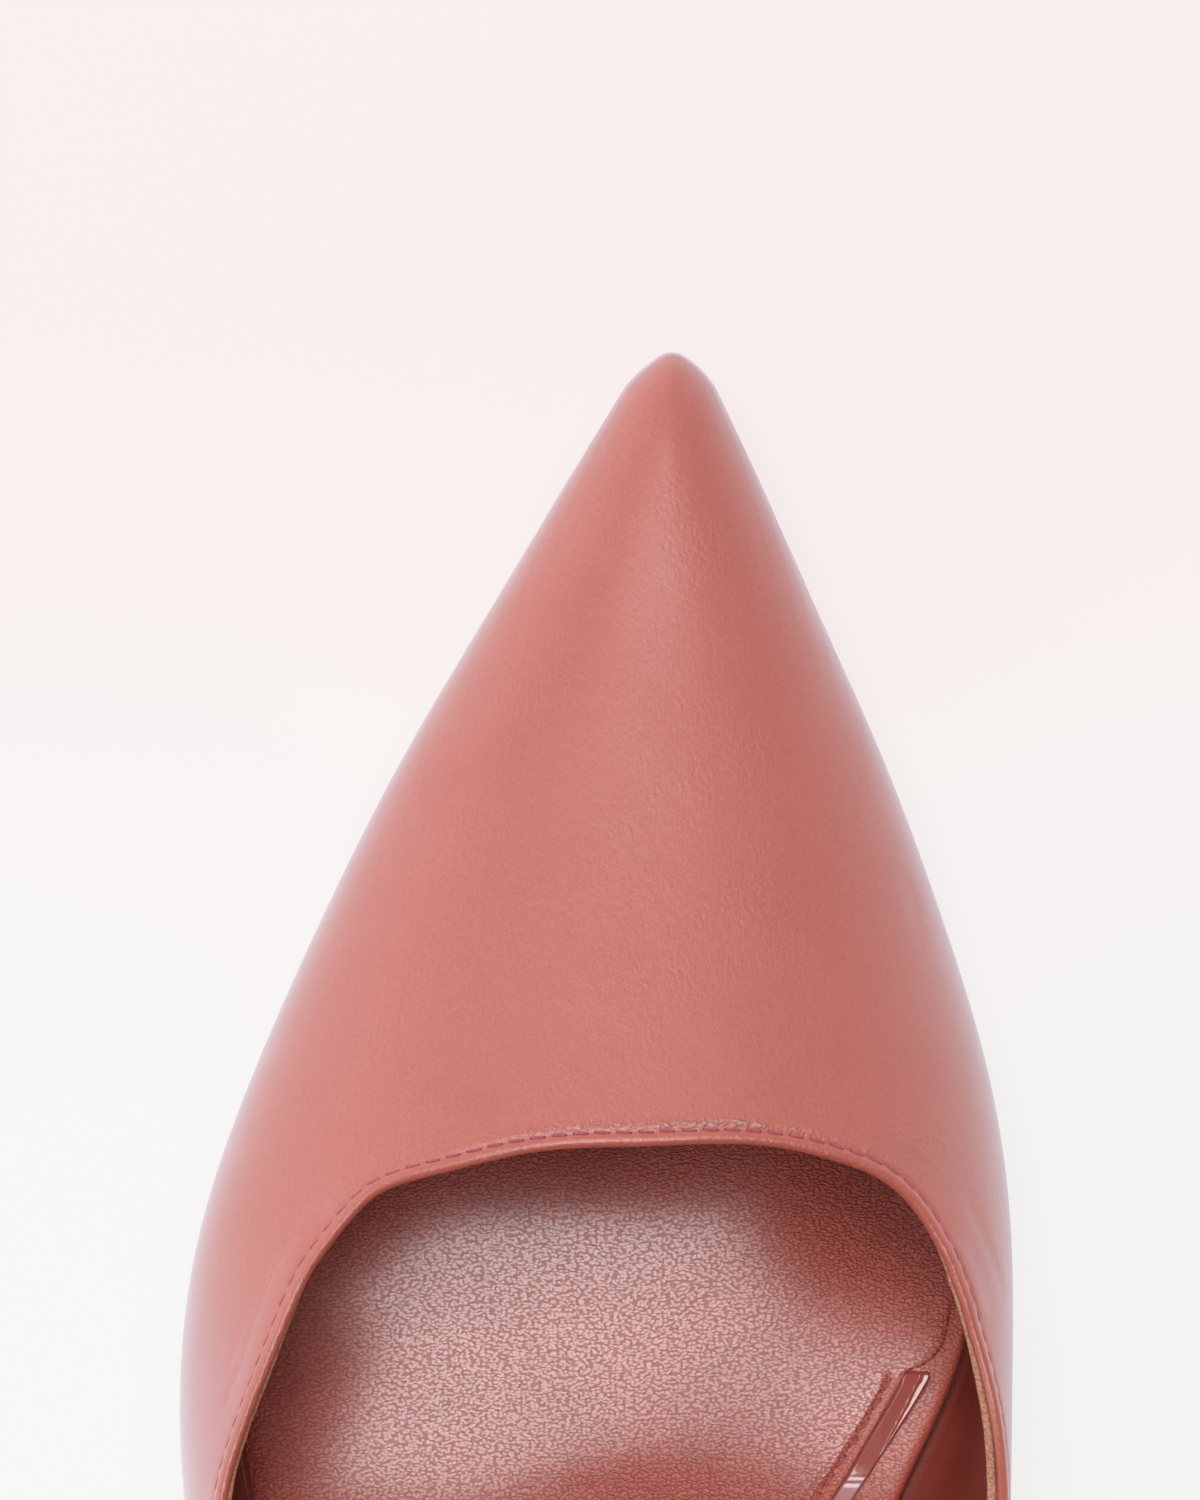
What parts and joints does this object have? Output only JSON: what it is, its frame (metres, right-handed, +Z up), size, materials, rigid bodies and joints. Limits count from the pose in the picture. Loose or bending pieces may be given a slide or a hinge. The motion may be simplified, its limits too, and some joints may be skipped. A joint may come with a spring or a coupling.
{
  "type": "slingback pump",
  "caption": "Pointed-toe slingback pump in rose nappa leather: low-cut vamp, slim high heel, thin ankle strap, pebbled leather insole sock",
  "frame": {"origin": "on the floor plane, under the middle of the shoe's bounding box", "axes": "+Z up from the floor, -Y towards the toe, +X to the outer (lateral) side of this left shoe"},
  "size_m": [0.08, 0.2344, 0.1365],
  "materials": {
    "nappa": "smooth rose nappa leather, low gloss",
    "sock_leather": "pebbled leather with a satin gloss",
    "sole_leather": "plain tan sole leather, matte",
    "heel_cover": "smooth rose nappa leather, low gloss",
    "top_lift_rubber": "hard black rubber, matte",
    "strap_leather": "smooth rose nappa leather, low gloss"
  },
  "bodies": {
    "root": {"upper": "nappa", "insole": "sock_leather", "outsole": "sole_leather", "heel": "heel_cover", "top_lift": "top_lift_rubber", "strap": "strap_leather"}
  },
  "joints": []
}
